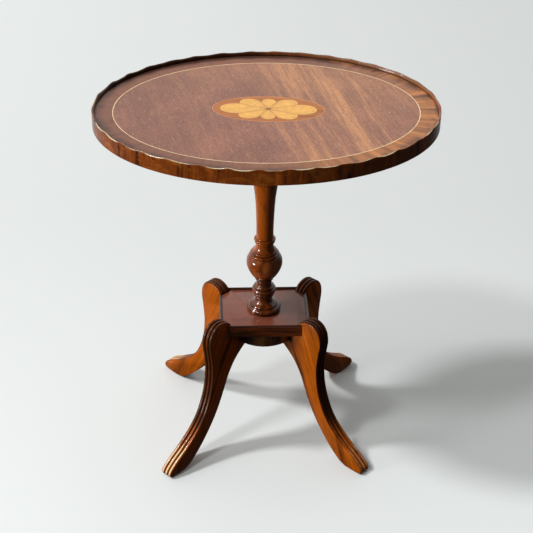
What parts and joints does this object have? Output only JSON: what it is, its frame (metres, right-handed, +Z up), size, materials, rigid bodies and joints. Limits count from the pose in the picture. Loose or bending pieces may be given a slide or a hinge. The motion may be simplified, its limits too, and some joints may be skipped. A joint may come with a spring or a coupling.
{
  "type": "tilt top table",
  "caption": "Small oval tilt-top pedestal table: inlaid top with a pie-crust gallery, turned column, platform and splayed sabre legs, with a sprung catch under the top.",
  "frame": {"origin": "on the floor, under the column's axis, at the middle of the oval top", "axes": "+Z up, +X along the length of the oval top, -Y towards the side that the inlay faces when the top is tilted up"},
  "size_m": [0.5, 0.376, 0.571],
  "materials": {
    "mahogany_field": "french polished, worn satin gloss",
    "mahogany_crossband": "french polished, worn satin gloss",
    "mahogany_rim": "polished, rubbed pale along the upper arris",
    "boxwood_inlay": "polished flush, scorched shading",
    "mahogany_legs": "french polished, rubbed along the reeds",
    "mahogany_turned": "french polished gloss",
    "carcase_wood": "unpolished, aged",
    "peg_wood": "bare end grain",
    "brass": "aged, lacquer worn off",
    "steel": "dull"
  },
  "bodies": {
    "stand": {"column": "mahogany_turned", "head_wedge": "peg_wood", "foot_wedge": "peg_wood", "top_block": "carcase_wood", "strike_plate": "brass", "strike_screw_left": "brass", "strike_screw_right": "brass", "platform": "mahogany_turned", "platform_boss": "mahogany_turned", "edge_bead_left": "mahogany_turned", "edge_bead_right": "mahogany_turned", "edge_bead_front": "mahogany_turned", "edge_bead_back": "mahogany_turned", "leg_front_left": "mahogany_legs", "leg_front_right": "mahogany_legs", "leg_back_left": "mahogany_legs", "leg_back_right": "mahogany_legs", "upper_dowel_front_left": "peg_wood", "upper_dowel_front_right": "peg_wood", "upper_dowel_back_left": "peg_wood", "upper_dowel_back_right": "peg_wood", "lower_dowel_front_left": "peg_wood", "lower_dowel_front_right": "peg_wood", "lower_dowel_back_left": "peg_wood", "lower_dowel_back_right": "peg_wood"},
    "top": {"top_board": "carcase_wood", "crossband": "mahogany_crossband", "string_line": "boxwood_inlay", "field_veneer": "mahogany_field", "gallery_rim": "mahogany_rim", "patera_line": "boxwood_inlay", "patera_ground": "mahogany_rim", "flower_eye": "boxwood_inlay", "flower_petal_1": "boxwood_inlay", "flower_petal_2": "boxwood_inlay", "flower_petal_3": "boxwood_inlay", "flower_petal_4": "boxwood_inlay", "flower_petal_5": "boxwood_inlay", "flower_petal_6": "boxwood_inlay", "flower_petal_7": "boxwood_inlay", "flower_petal_8": "boxwood_inlay", "bearer_left": "carcase_wood", "bearer_right": "carcase_wood", "pivot_pin_left": "steel", "pivot_pin_right": "steel", "bearer_screw_left_1": "steel", "bearer_screw_left_2": "steel", "bearer_screw_left_3": "steel", "bearer_screw_right_1": "steel", "bearer_screw_right_2": "steel", "bearer_screw_right_3": "steel", "catch_case": "brass", "catch_screw_1": "brass", "catch_screw_2": "brass", "catch_spring": "steel"},
    "catch_bolt": {"catch_bolt": "brass", "catch_knob": "brass"}
  },
  "joints": [
    {"name": "top_tilt", "type": "hinge", "parent": "stand", "child": "top", "pos_m": [0, -0.022, 0.5353], "axis": [1, 0, 0], "range_deg": [0, 90]},
    {"name": "catch_slide", "type": "slide", "parent": "top", "child": "catch_bolt", "axis": [0, 1, 0], "range_m": [0, 0.007], "stiffness_N_per_m": 300, "springref_m": -0.01, "deforming": ["catch_spring"]}
  ]
}
